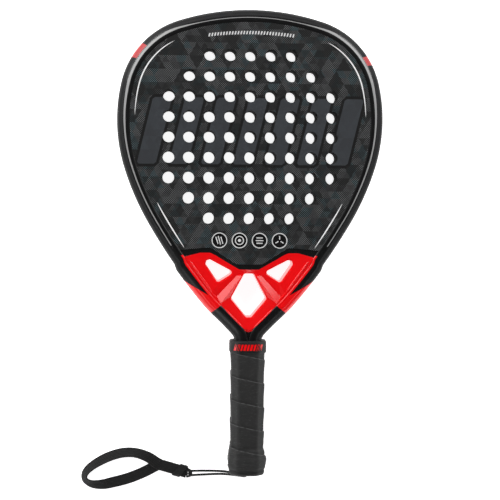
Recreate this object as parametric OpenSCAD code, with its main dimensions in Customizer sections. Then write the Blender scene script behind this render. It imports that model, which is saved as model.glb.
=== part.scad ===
// Padel racket: a hollow carbon hoop with an EVA core and two drilled faces, an open red
// throat bridge, a wrapped octagonal handle and a webbing wrist strap on a doubled cord.
// Lies on its rear face: +X right, +Y toward the crown, +Z out of the front face.

/* [Head] */
// Overall length, crown to butt end
racket_length = 455; // [452:0.5:456]
// Thickness over both faces
racket_depth = 38; // [36:0.5:38]
// Radius of the crown's outer edge
crown_radius = 229; // [225:1:233]
// Turn of the crown arc, from the middle to one side, in degrees
crown_sweep = 18; // [17.5:0.1:18.5]
// Radius of the upper shoulder
shoulder_radius = 82; // [80:0.5:84]
// Turn of the upper shoulder, in degrees
shoulder_sweep = 59; // [58.5:0.1:59.5]
// Radius of the side of the head
side_radius = 159; // [156:1:162]
// Turn of the side, in degrees
side_sweep = 30.5; // [30:0.1:31]
// Radius where the head runs into the throat
waist_radius = 260; // [255:1:265]
// Turn of that stretch, in degrees
waist_sweep = 12.5; // [12:0.1:13]
// Radius of the long bow of each throat arm
arm_radius = 550; // [530:5:570]
// Turn of the throat arm, in degrees
arm_sweep = 14.3; // [14.1:0.1:14.4]

/* [Frame tube] */
// Width of the tube across the front, outer edge to face
tube_width = 12.5; // [11.5:0.5:13]
// Radius of the tube's two outer shoulders
tube_shoulder = 7; // [5:0.5:8]
// Wall of the carbon tube
tube_wall = 2; // [1.5:0.25:2.5]
// Half width over the two tube ends inside the handle
leg_half = 12.8; // [12.4:0.1:12.9]

/* [Face] */
// Thickness of each carbon face
skin = 1; // [0.8:0.1:1.5]
// Diameter of the air holes
hole_d = 11.5; // [9:0.5:13]
// Distance between holes, across and along
hole_pitch = 19.8; // [18.5:0.1:20]
// Height of the middle row of holes above the racket's middle
hole_row_y = 103.9; // [100:0.1:106]

/* [Throat bridge] */
// How far the bridge lies below each face
bridge_recess = 1.5; // [1:0.25:3]
// Lower end of the bridge
bridge_foot_y = -92; // [-93:0.5:-88]
// Corner radius of the two side windows
side_window_r = 2.5; // [1.5:0.25:3]
// Corner radius of the middle window
middle_window_r = 4; // [2:0.5:5]

/* [Handle] */
// Upper end of the rubber collar
collar_top_y = -94.5; // [-95:0.5:-94]
// Lower end of the rubber collar
collar_end_y = -106.8; // [-110:0.1:-105]
// Half width of the rubber collar
collar_half = 18; // [17.8:0.1:18.5]
// Half width of the grip in the middle of the handle
grip_half = 16.4; // [16.2:0.1:16.6]
// Half width of the flare at the butt
flare_half = 19.1; // [18.5:0.1:19.2]
// Thickness of the overgrip
overgrip_t = 0.7; // [0.5:0.1:0.8]
// Thickness of the cushion grip under it
cushion_t = 1.8; // [1.5:0.1:1.9]
// Diameter of the cord hole in the butt cap
cord_hole_d = 5.5; // [5.2:0.1:7]

/* [Strap] */
// Width of the webbing
webbing_w = 10.5; // [9:0.5:10.5]
// Thickness of the webbing
webbing_t = 1.6; // [1.2:0.1:1.8]
// Width of the doubled cord
leash_w = 4.6; // [4:0.1:4.8]
// Thickness of the doubled cord
leash_t = 2.3; // [2:0.1:2.6]
// Length of the keeper along the strap
keeper_len = 9.5; // [8:0.5:10]

/* [Hidden] */
$fn = 96;

top_y = racket_length / 2;
butt_y = -racket_length / 2;
mid_z = racket_depth / 2;
clear = 0.05;               // gap between glued pieces
hole_counts = [5, 7, 9, 9, 9, 9, 9, 7, 5];

// ---- outer edge of the frame, as a chain of tangent arcs down the right side ----

function normal(h) = [sin(h), cos(h)];
function heading(i) = i == 0 ? 0 : heading(i - 1) + sweeps[i - 1];
function centre(i) =
    i == 0 ? [0, top_y - radii[0]] : centre(i - 1) + (radii[i - 1] - radii[i]) * normal(heading(i));

bows = [crown_radius, shoulder_radius, side_radius, waist_radius, arm_radius];
turns = [crown_sweep, shoulder_sweep, side_sweep, waist_sweep, arm_sweep];
arm_heading = turns * [1, 1, 1, 1, 1];

// The neck is a hollow bow that brings the arm's outer edge down to the handle.
function arm_end_x(i = 0, x = 0, h = 0) =
    i == 5 ? x : arm_end_x(i + 1, x + bows[i] * (sin(h + turns[i]) - sin(h)), h + turns[i]);
neck_radius = (arm_end_x() - leg_half) / (1 - sin(arm_heading));
radii = concat(bows, [-neck_radius]);
sweeps = concat(turns, [90 - arm_heading]);
arcs = len(radii);
leg_top_y = centre(arcs - 1).y;

// Stops down the right side, one about every 5 degrees of turn: [centre, radius, heading].
stops = [
    for (i = [0:arcs - 1])
        let (steps = ceil(abs(sweeps[i]) / 5))
            for (k = [(i == 0 ? 0 : 1):steps])
                [centre(i), radii[i], heading(i) + sweeps[i] * k / steps]
];
arm_stops = [for (s = stops) if (s[2] < arm_heading - 1 && s[1] > 0) s];

function inside(stop, inset) = stop[0] + (stop[1] - inset) * normal(stop[2]);
function edge(inset) = [for (s = stops) inside(s, inset)];
function backward(list) = [for (i = [len(list) - 1:-1:0]) list[i]];
function both_sides(half) = concat(half, [for (p = backward(half)) [-p.x, p.y]]);

// ---- side view: full depth in the head, thinner down the throat ----

throat_y = -25;             // where the taper starts
neck_drop = 4;              // how far each face has fallen at the collar
neck_y = -97;               // where the arms become the handle's legs
leg_depth_half = 12.4;
leg_bevel = 4.3;            // bevel of the pallet's bore, outside the legs' round edges
leg_end_y = -210;

function half_depth(y) =
    y > throat_y ? mid_z : mid_z - neck_drop * (throat_y - y) / (throat_y - neck_y);

module side_view(drop)
    rotate([90, 0, 90])
        translate([0, 0, -150])
            linear_extrude(300)
                polygon([
                    for (side = [-1, 1])
                        for (y = side < 0 ? [neck_y, throat_y, 0] : [0, throat_y, neck_y])
                            [y, mid_z + side * (half_depth(y) - drop)]
                ]);

// ---- frame tube: one section carried up the left arm, round the crown and down the right ----

// Points of the section as [distance in from the edge, height above the middle], shrunk by t.
function tube_section(deep, t) =
    let (r = tube_shoulder - t, low = deep - tube_shoulder)
    concat(
        [[tube_width - t, t - deep]],
        [for (a = [90:-22.5:0]) [tube_shoulder - r * cos(a), -low - r * sin(a)]],
        [for (a = [0:22.5:90]) [tube_shoulder - r * cos(a), low + r * sin(a)]],
        [[tube_width - t, deep - t]]
    );
function tube_ring(stop, t) = [
    for (q = tube_section(half_depth(inside(stop, 0).y), t))
        let (p = inside(stop, q.x)) [p.x, p.y, mid_z + q.y]
];
function leg_ring(y) = [
    for (q = tube_section(leg_depth_half, 0)) [leg_half - q.x * (leg_half - 0.4) / tube_width, y, mid_z + q.y]
];
function both_ways(rings) = concat(
    [for (r = backward(rings)) [for (p = r) [-p.x, p.y, p.z]]],
    [for (i = [1:len(rings) - 1]) rings[i]]
);

// ---- plan of the face and the bridge ----

face_foot = [[90, -6.5], [38, -3.2], [12.5, -19.7]];   // lower edge of the face, right side
face_foot_r = 9;

// A closed outline with each corner rounded by its own radius.
function unit(v) = v / norm(v);
function corner(a, b, c, r) =
    let (
        u = unit(a - b), v = unit(c - b),
        half = acos(u * v) / 2,
        mid = b + unit(u + v) * r / sin(half),
        p = b + u * r / tan(half), q = b + v * r / tan(half),
        a0 = atan2(p.y - mid.y, p.x - mid.x),
        turn = ((atan2(q.y - mid.y, q.x - mid.x) - a0 + 540) % 360) - 180,
        steps = ceil(abs(turn) / 12)
    )
    r == 0 ? [b] : [for (k = [0:steps]) mid + r * [cos(a0 + turn * k / steps), sin(a0 + turn * k / steps)]];
function rounded(pts, rs) = [
    for (i = [0:len(pts) - 1])
        each corner(pts[(i + len(pts) - 1) % len(pts)], pts[i], pts[(i + 1) % len(pts)], rs[i])
];

module below_face() {
    foot = both_sides(face_foot);
    polygon(rounded(
        concat([[-90, -150], [90, -150]], foot),
        concat([0, 0, 0], [for (i = [1:4]) face_foot_r], [0])
    ));
}

module face_plan() {
    difference() {
        polygon(both_sides(edge(tube_width + clear)));
        below_face();
        for (row = [0:len(hole_counts) - 1])
            for (k = [0:hole_counts[row] - 1])
                translate([
                    (k - (hole_counts[row] - 1) / 2) * hole_pitch,
                    hole_row_y + (4 - row) * hole_pitch
                ]) circle(d = hole_d);
    }
}

side_window = [[49.8, -8.9], [14.6, -27.4], [30.4, -37.6]];
middle_window = [[-4.5, -28.5], [4.5, -28.5], [17.6, -53.2], [2.5, -71.5], [-2.5, -71.5], [-17.6, -53.2]];

module bridge_plan() {
    difference() {
        intersection() {
            polygon(both_sides(edge(tube_width + clear)));
            below_face();
            translate([-90, bridge_foot_y]) square([180, 100]);
        }
        for (side = [0, 1])
            mirror([side, 0])
                polygon(rounded(side_window, [side_window_r + 1, side_window_r, side_window_r]));
        polygon(rounded(middle_window, [for (p = middle_window) middle_window_r - 1.5]));
    }
}

// ---- handle sections, across the handle ----

depth_ratio = 0.98;         // handle depth over width
bevel_ratio = 0.44;         // bevel of the octagon over its half width

function octagon(half, bevel) =
    let (d = half * depth_ratio)
    [
        [half, d - bevel], [half - bevel, d], [bevel - half, d], [-half, d - bevel],
        [-half, bevel - d], [bevel - half, -d], [half - bevel, -d], [half, bevel - d]
    ];
module handle_run(y0, y1)
    translate([0, y0, mid_z]) rotate([90, 0, 0]) linear_extrude(y0 - y1) children();

// A solid through rings of equal point counts, each ring seen from its starting end.
module loft(rings) {
    n = len(rings[0]);
    m = len(rings);
    polyhedron(
        points = [for (r = rings) each r],
        faces = concat(
            [[for (k = [0:n - 1]) k]],
            [for (j = [0:m - 2]) for (k = [0:n - 1])
                let (a = j * n + k, b = j * n + (k + 1) % n)
                    each [[a, a + n, b + n], [a, b + n, b]]],
            [[for (k = [n - 1:-1:0]) (m - 1) * n + k]]
        ),
        convexity = 4
    );
}
module handle_loft(stations, less = 0)
    loft([
        for (s = stations)
            [for (p = octagon(s[1] - less, (s[1] - less) * bevel_ratio)) [p.x, s[0], mid_z + p.y]]
    ]);

grip_top_y = -98;
grip_top_half = 17;
tape_half = grip_top_half + 0.25;
collar_lip = 1.5;           // thickness of the collar's top lip, round the throat arms
cap_floor_y = -223;         // floor of the pocket that holds the knot
knot_r = 6.4;
flare_y = -199;             // where the handle starts to widen
flare_end_y = -222.5;       // lower end of the overgrip
pallet_half = grip_half - overgrip_t - cushion_t + 0.3;
grip_stations = [
    [grip_top_y, grip_top_half], [-126, grip_half], [flare_y, grip_half], [-206, flare_half - 1.2],
    [-213, flare_half], [-219, flare_half - 0.8], [flare_end_y, flare_half - 1.9]
];
cushion_stations = [for (i = [0:2]) grip_stations[i]];
cap_stations = concat(
    [[flare_y - 1, grip_half - overgrip_t - clear]],
    [for (s = grip_stations) if (s[0] < flare_y) [s[0], s[1] - overgrip_t - clear]],
    [[flare_end_y - 0.1, flare_half - 1.9], [butt_y + 1, flare_half - 2.7], [butt_y, flare_half - 3.7]]
);

// ---- strap route: points are [x, y, height, tilt of the webbing in degrees] ----

leash_route = [
    [0, -223.1, 19, 90], [0, -227.2, 19, 90], [-1.3, -229.5, 18, 90], [-6, -229.9, 12.8, 82],
    [-13, -229.6, 6, 45], [-21, -229, 2.8, 10], [-32, -228.8, 2.2, 0], [-45, -229, 2.6, 0],
    [-53.4, -229.3, 3, 0]
];
slide_start = [-58.6, -228.7];   // where the webbing leaves its sewn end
slide_end = [-86, -220.68];      // where the two strands of the loop part
slide_angle = atan2(slide_end.y - slide_start.y, slide_end.x - slide_start.x);
keeper_middle = [-65.4, -226.7];
strand_low_z = 2.1;
strand_high_z = 4.1;
loop_route = [
    [-58.6, -228.7, strand_high_z, 0], [-82, -221.85, strand_high_z, 0], [-86, -220.68, strand_high_z, 0], [-97, -213.2, 4.6, 25],
    [-109, -209, 5, 38], [-120, -208.6, 5, 38], [-131, -211, 5, 38], [-142, -215.6, 5, 40],
    [-152, -221.6, 5, 48], [-158, -227.2, 5.3, 55], [-160, -232, 5.4, 60], [-158.5, -236.6, 5.3, 55],
    [-152, -240, 4.6, 40], [-142, -240.6, 3, 20], [-131, -238.6, 1.4, 4], [-116, -234.6, 1.1, 0],
    [-100, -228, 1.4, 0], [-86, -220.68, strand_low_z, 0],
    [-82, -221.85, strand_low_z, 0], [-58.6, -228.7, strand_low_z, 0]
];

function smooth(list, n) = [
    for (i = [0:len(list) - 2])
        let (
            a = list[max(i - 1, 0)], b = list[i],
            c = list[i + 1], d = list[min(i + 2, len(list) - 1)]
        )
            for (k = [0:n - 1])
                let (t = k / n)
                    0.5 * (2 * b + (c - a) * t + (2 * a - 5 * b + 4 * c - d) * t * t
                        + (3 * b - a - 3 * c + d) * t * t * t),
    list[len(list) - 1]
];
function band_ring(p, ahead, w, t) =
    let (
        along = unit([ahead.x, ahead.y, ahead.z]),
        flat = unit(cross([0, 0, 1], along)),
        up = cross(along, flat),
        across = flat * cos(p[3]) + up * sin(p[3]),
        over = up * cos(p[3]) - flat * sin(p[3])
    )
    [for (q = [[1, -0.4], [1, 0.4], [0.8, 1], [-0.8, 1], [-1, 0.4], [-1, -0.4], [-0.8, -1], [0.8, -1]])
        [p.x, p.y, p.z] + across * q.x * w / 2 + over * q.y * t / 2];
module band(route, w, t)
    loft([
        for (i = [0:len(route) - 1])
            band_ring(route[i], route[min(i + 1, len(route) - 1)] - route[max(i - 1, 0)], w, t)
    ]);

// ---- pieces ----

module frame_tube() color("#1b1c1f")
    difference() {
        loft(both_ways(concat(
            [for (s = stops) tube_ring(s, 0)],
            [leg_ring(leg_top_y - 1), leg_ring(leg_end_y)]
        )));
        loft(both_ways([for (s = arm_stops) tube_ring(s, tube_wall)]));
    }

module frame_foam() color("#d9d2c0")
    loft(both_ways([for (s = arm_stops) tube_ring(s, tube_wall + clear)]));

module throat_bridge() color("#d8101a")
    intersection() {
        linear_extrude(racket_depth) bridge_plan();
        side_view(bridge_recess);
    }

module foam_core() color("#efe9dc")
    translate([0, 0, skin]) linear_extrude(racket_depth - 2 * skin) face_plan();

module front_face() color("#2b2d30")
    translate([0, 0, racket_depth - skin]) linear_extrude(skin) face_plan();

module rear_face() color("#2b2d30")
    linear_extrude(skin) face_plan();

module handle_pallet() color("#c8b48a")
    difference() {
        handle_run(grip_top_y - 1, leg_end_y) polygon(octagon(pallet_half, pallet_half * bevel_ratio));
        handle_run(grip_top_y, leg_end_y - 1) polygon(octagon(leg_half + clear, leg_bevel));
    }

module cushion_grip() color("#3a3a3c")
    difference() {
        handle_loft(cushion_stations, overgrip_t + clear);
        handle_run(grip_top_y + 1, flare_y - 1) polygon(octagon(pallet_half + clear, pallet_half * bevel_ratio));
    }

module overgrip() color("#29292b")
    difference() {
        handle_loft(grip_stations);
        handle_loft(concat(
            [[grip_top_y + 1, grip_top_half]], grip_stations, [[flare_end_y - 1, flare_half - 1.9]]
        ), overgrip_t);
    }

module finishing_tape() color("#0d0d0e")
    difference() {
        handle_run(grip_top_y - 1, collar_end_y + 1) polygon(octagon(tape_half, tape_half * bevel_ratio));
        handle_run(grip_top_y, collar_end_y) polygon(octagon(grip_top_half + clear, grip_top_half * bevel_ratio));
    }

module rubber_collar() color("#161617")
    difference() {
        handle_run(collar_top_y, collar_end_y) polygon(octagon(collar_half, collar_half * bevel_ratio));
        handle_run(collar_top_y - collar_lip, collar_end_y - 1)
            polygon(octagon(tape_half + clear, tape_half * bevel_ratio));
        handle_run(collar_top_y + 1, collar_top_y - 2) polygon(octagon(16.3, 5.4));
    }

module butt_cap() color("#141415")
    difference() {
        handle_loft(cap_stations);
        handle_run(flare_y, leg_end_y - clear) polygon(octagon(pallet_half + clear, pallet_half * bevel_ratio));
        handle_run(leg_end_y + 1, cap_floor_y) circle(r = knot_r + 1);
        handle_run(cap_floor_y + 1, butt_y - 1) circle(d = cord_hole_d);
    }

staple_y = -203.5;
wire = 0.8;

module cap_staples() color("#b9bcc0")
    for (side = [-1, 1])
        translate([side * pallet_half, staple_y, mid_z]) {
            translate([side * 1.2, 0, 0]) cube([wire, wire, 8], center = true);
            for (z = [-3.6, 3.6])
                translate([0, 0, z]) cube([2.4, wire, wire], center = true);
        }

module cord_knot() color("#101011")
    translate([0, cap_floor_y + knot_r, mid_z]) sphere(r = knot_r);

module leash_cord() color("#101011")
    band(smooth(leash_route, 3), leash_w, leash_t);

module strap_tab() color("#0e0e0f")
    translate([-53.6, -229.3, 0.6]) linear_extrude(5.2)
        polygon(rounded([[0, 3.2], [-4.8, 4.8], [-4.8, -4.8], [0, -3.2]], [1, 1, 1, 1]));

module wrist_loop() color("#17171a")
    band(smooth(loop_route, 3), webbing_w, webbing_t);

module strap_keeper() color("#0e0e0f")
    translate([keeper_middle.x, keeper_middle.y, 0]) rotate([0, 0, slide_angle])
        difference() {
            translate([-keeper_len / 2, -webbing_w / 2 - 1.4, 0.1]) cube([keeper_len, webbing_w + 2.8, 6.2]);
            translate([-keeper_len, -webbing_w / 2 - 0.4, 1]) cube([2 * keeper_len, webbing_w + 0.8, 4.4]);
        }

frame_tube();
frame_foam();
throat_bridge();
foam_core();
front_face();
rear_face();
handle_pallet();
cushion_grip();
overgrip();
finishing_tape();
rubber_collar();
butt_cap();
cap_staples();
cord_knot();
leash_cord();
strap_tab();
wrist_loop();
strap_keeper();
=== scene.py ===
from collections import Counter
from math import copysign, cos, exp, hypot, pi, radians, sin, tan

import bmesh
import bpy
from mathutils import Matrix, Vector, noise
from mathutils.geometry import delaunay_2d_cdt


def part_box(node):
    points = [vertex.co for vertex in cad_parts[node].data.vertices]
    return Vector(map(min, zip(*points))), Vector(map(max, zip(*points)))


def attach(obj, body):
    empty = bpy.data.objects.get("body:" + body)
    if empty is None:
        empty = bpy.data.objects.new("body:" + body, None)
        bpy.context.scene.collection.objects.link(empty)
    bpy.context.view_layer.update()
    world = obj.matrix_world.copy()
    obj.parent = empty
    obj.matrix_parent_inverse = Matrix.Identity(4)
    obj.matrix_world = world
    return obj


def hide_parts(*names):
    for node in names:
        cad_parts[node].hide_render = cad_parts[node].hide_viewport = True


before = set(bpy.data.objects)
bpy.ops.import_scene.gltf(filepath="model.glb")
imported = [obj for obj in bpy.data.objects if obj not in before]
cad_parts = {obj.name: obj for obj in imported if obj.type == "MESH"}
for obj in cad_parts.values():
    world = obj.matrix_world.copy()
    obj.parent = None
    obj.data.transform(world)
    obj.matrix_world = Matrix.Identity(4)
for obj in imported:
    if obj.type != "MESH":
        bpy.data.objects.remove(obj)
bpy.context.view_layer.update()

MM = 0.001

# ---------------------------------------------------------------- sizes, in millimetres

TOP_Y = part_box("frame_tube")[1].y / MM
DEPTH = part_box("frame_tube")[1].z / MM
MID_Z = DEPTH / 2

# The frame's outer edge is a chain of tangent arcs down each side: [radius, turn in degrees].
ARCS = [(229, 18), (82, 59), (159, 30.5), (260, 12.5), (550, 14.3)]
LEG_HALF = 12.8
TUBE_WIDTH = 12.5
THROAT_Y = -25.0
NECK_Y = -97.0
NECK_DROP = 4.0


def half_depth(y):
    """Half the frame's thickness: full in the head and thinner down the throat."""
    if y > THROAT_Y:
        return MID_Z
    return MID_Z - NECK_DROP * min((THROAT_Y - y) / (THROAT_Y - NECK_Y), 1.0)


def smoothstep(a, b, x):
    t = min(max((x - a) / (b - a), 0.0), 1.0)
    return t * t * (3 - 2 * t)


def bisect(lo, hi, goes_on, steps=40):
    """Where goes_on(x), which is true at lo, turns false on the way to hi."""
    for _ in range(steps):
        mid = (lo + hi) / 2
        if goes_on(mid):
            lo = mid
        else:
            hi = mid
    return lo


def turns(count):
    """The angles of evenly spaced points round a circle."""
    return [2 * pi * k / count for k in range(count)]


def circle(cx, cy, r, count):
    return [(cx + r * cos(a), cy + r * sin(a)) for a in turns(count)]


def grid(base, rows, count, closed=True):
    """Quads between rows of count points each, numbered from base."""
    for j in range(rows):
        for k in range(count if closed else count - 1):
            a, b = base + j * count + k, base + j * count + (k + 1) % count
            yield a, b, b + count, a + count


def side_name(side):
    return "right" if side > 0 else "left"


# ---------------------------------------------------------------- camera

CAMERA_EYE, CAMERA_AIM = (-81, 56.6, MID_Z + 1660), (1.5, -6.2, MID_Z)
CAMERA_ROLL, CAMERA_LENS = 0.55, 121.9


def make_camera():
    """The camera looks down from over the racket's upper left."""
    eye, aim = Vector(CAMERA_EYE) * MM, Vector(CAMERA_AIM) * MM
    roll = radians(CAMERA_ROLL)
    look = (aim - eye).normalized()
    up = Vector((-sin(roll), cos(roll), 0))
    right = look.cross(up).normalized()
    up = right.cross(look)
    data = bpy.data.cameras.new("camera")
    data.lens = CAMERA_LENS
    data.sensor_width = 36
    data.clip_start = 0.05
    data.clip_end = 20
    cam = bpy.data.objects.new("camera", data)
    cam.rotation_mode = "QUATERNION"
    basis = Matrix((right, up, -look)).transposed()
    cam.rotation_quaternion = basis.to_quaternion()
    cam.location = eye
    bpy.context.collection.objects.link(cam)
    bpy.context.scene.camera = cam


make_camera()

# ---------------------------------------------------------------- mesh helpers


def new_mesh(name, verts, faces, smooth=True, body="racket", slot=None):
    """A mesh object from points in millimetres, riding on a body."""
    mesh = bpy.data.meshes.new(name)
    mesh.from_pydata([Vector(v) * MM for v in verts], [], faces)
    mesh.validate()
    mesh.update()
    for p in mesh.polygons:
        p.use_smooth = smooth
    obj = bpy.data.objects.new(name, mesh)
    bpy.context.collection.objects.link(obj)
    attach(obj, body)
    return obj


def add_point_vectors(obj, name, values):
    """A named vector on each point, for a material to read."""
    attribute = obj.data.attributes.new(name, "FLOAT_VECTOR", "POINT")
    attribute.data.foreach_set("vector", [c for v in values for c in v])


def outward(obj):
    """Face normals made consistent and pointing out."""
    bm = bmesh.new()
    bm.from_mesh(obj.data)
    bmesh.ops.recalc_face_normals(bm, faces=bm.faces)
    bm.to_mesh(obj.data)
    bm.free()


def loft(name, *tubes, cap=True, marks=None, mark="along", **kw):
    """One piece: a skin over each tube, which is a list of rings of equal point counts."""
    verts, faces = [], []
    for rings in tubes:
        base, n = len(verts), len(rings[0])
        verts += [p for r in rings for p in r]
        faces += grid(base, len(rings) - 1, n)
        if cap:
            faces.append(tuple(range(base, base + n))[::-1])
            faces.append(tuple(range(len(verts) - n, len(verts))))
    obj = new_mesh(name, verts, faces, **kw)
    if marks:
        add_point_vectors(obj, mark, marks)
    outward(obj)
    return obj


def bevelled(obj, width, segments=2, angle=30):
    m = obj.modifiers.new("bevel", "BEVEL")
    m.width = width * MM
    m.segments = segments
    m.limit_method = "ANGLE"
    m.angle_limit = radians(angle)
    m.harden_normals = True
    return obj


# ---------------------------------------------------------------- outline of the frame


def chain():
    """The arcs as (centre x, centre y, radius, start heading, turn), the hollow neck arc last."""
    out = []
    x, y, h = 0.0, TOP_Y, 0.0
    for r, turn in ARCS:
        a0, a1 = radians(h), radians(h + turn)
        cx, cy = x - r * sin(a0), y - r * cos(a0)
        out.append((cx, cy, r, h, turn))
        x, y, h = cx + r * sin(a1), cy + r * cos(a1), h + turn
    rn = (x - LEG_HALF) / (1 - sin(radians(h)))
    a0 = radians(h)
    out.append((x + rn * sin(a0), y + rn * cos(a0), -rn, h, 90 - h))
    return out


CHAIN = chain()
LENGTHS = [abs(radians(t) * r) for _, _, r, _, t in CHAIN]
ARM_LENGTH = sum(LENGTHS)


def edge_at(s):
    """Point and outward normal of the right edge, s millimetres from the crown along it."""
    for (cx, cy, r, h, turn), length in zip(CHAIN, LENGTHS):
        if s <= length:
            a = radians(h + turn * s / length)
            return (cx + r * sin(a), cy + r * cos(a)), (sin(a), cos(a))
        s -= length
    return (LEG_HALF, CHAIN[-1][1] - s), (1.0, 0.0)


def flare_out(y):
    """The throat arms stand proud of the head's line from a small step below the face."""
    return 1.7 * smoothstep(-19.5, -25.5, y) * (1 - smoothstep(-58, -82, y))


def edge_point(s, inset):
    (x, y), (nx, ny) = edge_at(s)
    d = inset - flare_out(y)
    return x - nx * d, y - ny * d


def length_at_y(y, inset=0.0, start=250.0, end=ARM_LENGTH):
    """How far along the edge it falls to that y: on the lower right side, if start isn't given."""
    return bisect(start, end, lambda s: edge_point(s, inset)[1] > y)


# The tube's section, front half: [inset from the edge, drop below the front face].
SECTION = [(TUBE_WIDTH + 0.02, 1.2), (TUBE_WIDTH - 0.1, 0.35), (TUBE_WIDTH - 0.5, 0.05), (10.4, 0.0), (8.7, 0.05),
           (8.4, 0.12), (8.1, 0.26), (5.9, 0.75), (5.6, 0.95), (5.2, 1.2)]
SECTION += [(7 - 7 * sin(radians(a)) ** 0.85, 8.6 - 7.6 * cos(radians(a)) ** 0.9)
            for a in (22, 32, 42, 52, 62, 71, 79, 85)]
SECTION += [(0.0, 9.2), (0.0, 14.0)]


def full_section(deep):
    """The whole section as [inset, height above the middle], front to rear."""
    front = [(d, deep - drop) for d, drop in SECTION]
    return front + [(0.0, 0.0)] + [(d, -z) for d, z in front[::-1]]


def on_section(q, y):
    """Inset and height above the middle at place q of the section, and the section's step there."""
    pts = full_section(half_depth(y))
    k = min(int(q), len(pts) - 2)
    (d0, z0), (d1, z1) = pts[k], pts[k + 1]
    f = q - k
    return d0 * (1 - f) + d1 * f, z0 * (1 - f) + z1 * f, d1 - d0, z1 - z0


def frame_shell():
    """The carbon tube: one section carried round the head and down both arms to the handle."""
    end = ARM_LENGTH + 4
    count = int(end / 3.0)
    stops = [end * i / count for i in range(count + 1)]
    rings, along = [], []
    for side in (-1, 1):
        for s in (stops[::-1] if side < 0 else stops[1:]):
            ring, girth, last = [], 0.0, None
            for d, z in full_section(half_depth(edge_point(s, 0)[1])):
                px, py = edge_point(s, d)
                ring.append((side * px, py, MID_Z + z))
                if last:
                    girth += hypot(d - last[0], z - last[1])
                last = (d, z)
                along.append((side * s, girth, d))
            rings.append(ring)
    obj = loft("carbon_frame", rings, marks=along, slot="carbon_frame")
    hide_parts("frame_tube")
    return obj


frame_obj = frame_shell()


def tube_patch(name, side, rows, cols, where, lift=0.06, slot="red_bridge"):
    """A thin painted patch on the tube. where(u, v) gives (distance along, place in the section)."""
    verts = []
    for i in range(rows + 1):
        for j in range(cols + 1):
            s, q = where(i / rows, j / cols)
            d, z, td, tz = on_section(q, edge_point(s, 0)[1])
            size = hypot(td, tz) or 1.0
            px, py = edge_point(s, d - lift * -tz / size)
            verts.append((side * px, py, MID_Z + z + lift * -td / size))
    faces = [f if side > 0 else f[::-1] for f in grid(0, rows, cols + 1, closed=False)]
    return new_mesh(f"{name}_{side_name(side)}", verts, faces, slot=slot)


def section_place(inset):
    """Place in the section's list where the front half reaches that inset."""
    for k, ((d0, _), (d1, _)) in enumerate(zip(SECTION, SECTION[1:])):
        if d0 >= inset >= d1:
            return k + (d0 - inset) / max(d0 - d1, 1e-6)
    return 0.0


SECTION_END = 2 * len(SECTION)      # index of the section's last point


def painted_highlight_strip(side, rear):
    """A painted highlight: a pale grey strip on the shoulder that stands for the gloss of a narrow bevel, widest at the
    head's sides and thinner towards the throat.
    """
    end = length_at_y(-6)

    def where(u, v):
        s = end * u
        wide = (0.6 + 2.2 * smoothstep(45, 100, s) - 1.2 * smoothstep(125, 215, s)
                - 0.7 * smoothstep(0.55, 1.0, u))
        q = section_place(8.3 - wide * v)
        return s, (SECTION_END - q if rear else q)

    return tube_patch(f"pinstripe_{'rear' if rear else 'front'}", side, 150, 3, where, 0.05, "carbon_frame")


# Where the red paint starts and ends along the arm: at its outside, then at its inside.
ARM_RED = [length_at_y(-35.6), length_at_y(-52.6, TUBE_WIDTH), length_at_y(-67.5), length_at_y(-59.7, TUBE_WIDTH)]


def round_the_side(q_in, v):
    """Place in the section, from q_in at the front round the outside to the same at the rear."""
    return q_in + (SECTION_END - 2 * q_in) * v


def red_arm(side):
    """Red paint round the arm's outside, cut on a slant at both ends."""

    def where(u, v):
        q = round_the_side(0.4, v)
        t = on_section(q, 0)[0] / TUBE_WIDTH
        top = ARM_RED[0] + (ARM_RED[1] - ARM_RED[0]) * t
        low = ARM_RED[2] + (ARM_RED[3] - ARM_RED[2]) * t
        return top + (low - top) * u, q

    return tube_patch("red_arm", side, 26, 2 * SECTION_END, where)


def red_flash(side, y_mid, length):
    """A small red patch over the shoulder of the head."""
    middle = length_at_y(y_mid, 0, 0.0, 250.0)
    q_in = section_place(5.4)

    def where(u, v):
        lean = 3.0 * (1 - abs(2 * v - 1))
        return middle + length * (u - 0.5) + lean, round_the_side(q_in, v)

    return tube_patch("red_flash", side, 14, 40, where)


def red_lip(side, rear):
    """The wing's red paint, which runs a little way on to the arm."""
    q0, q1 = section_place(12.4), section_place(10.3)
    if rear:
        q0, q1 = SECTION_END - q0, SECTION_END - q1
    low = length_at_y(-54, TUBE_WIDTH)

    def where(u, v):
        top = length_at_y(-10.6 - 0.6 * v, TUBE_WIDTH - 2.1 * v)
        return top + (low - top) * u, q0 + (q1 - q0) * v

    return tube_patch("red_lip_rear" if rear else "red_lip", side, 40, 4, where)


# painted highlight strips along the shoulder, front and rear
highlight_strips = [painted_highlight_strip(side, rear) for side in (-1, 1) for rear in (False, True)]
red_paint = [red_arm(-1), red_arm(1)]
red_flashes = [red_flash(-1, 188.5, 17), red_flash(1, 181, 10)]
red_paint += [red_lip(side, rear) for side in (-1, 1) for rear in (False, True)]

# ---------------------------------------------------------------- face skins

HOLE_D, HOLE_PITCH, HOLE_ROW_Y, HOLE_SIDES = 11.5, 19.8, 103.9, 56
HOLE_COUNTS = [5, 7, 9, 9, 9, 9, 9, 7, 5]
FACE_FOOT = [(38, -3.2), (12.5, -19.7)]


def holes():
    for i, count in enumerate(HOLE_COUNTS):
        for k in range(count):
            yield ((k - (count - 1) / 2) * HOLE_PITCH, HOLE_ROW_Y + (4 - i) * HOLE_PITCH)


def round_corner(a, b, c, radius, steps=8):
    """Points of an arc that rounds corner b between a and c."""
    a, b, c = Vector(a[:2]), Vector(b[:2]), Vector(c[:2])
    u, v = (a - b).normalized(), (c - b).normalized()
    half = u.angle(v) / 2
    back = radius / tan(half)
    middle = b + (u + v).normalized() * (radius / sin(half))
    p, q = b + u * back, b + v * back
    return [tuple(middle + (p - middle).lerp(q - middle, i / steps).normalized() * radius) for i in range(steps + 1)]


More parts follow.
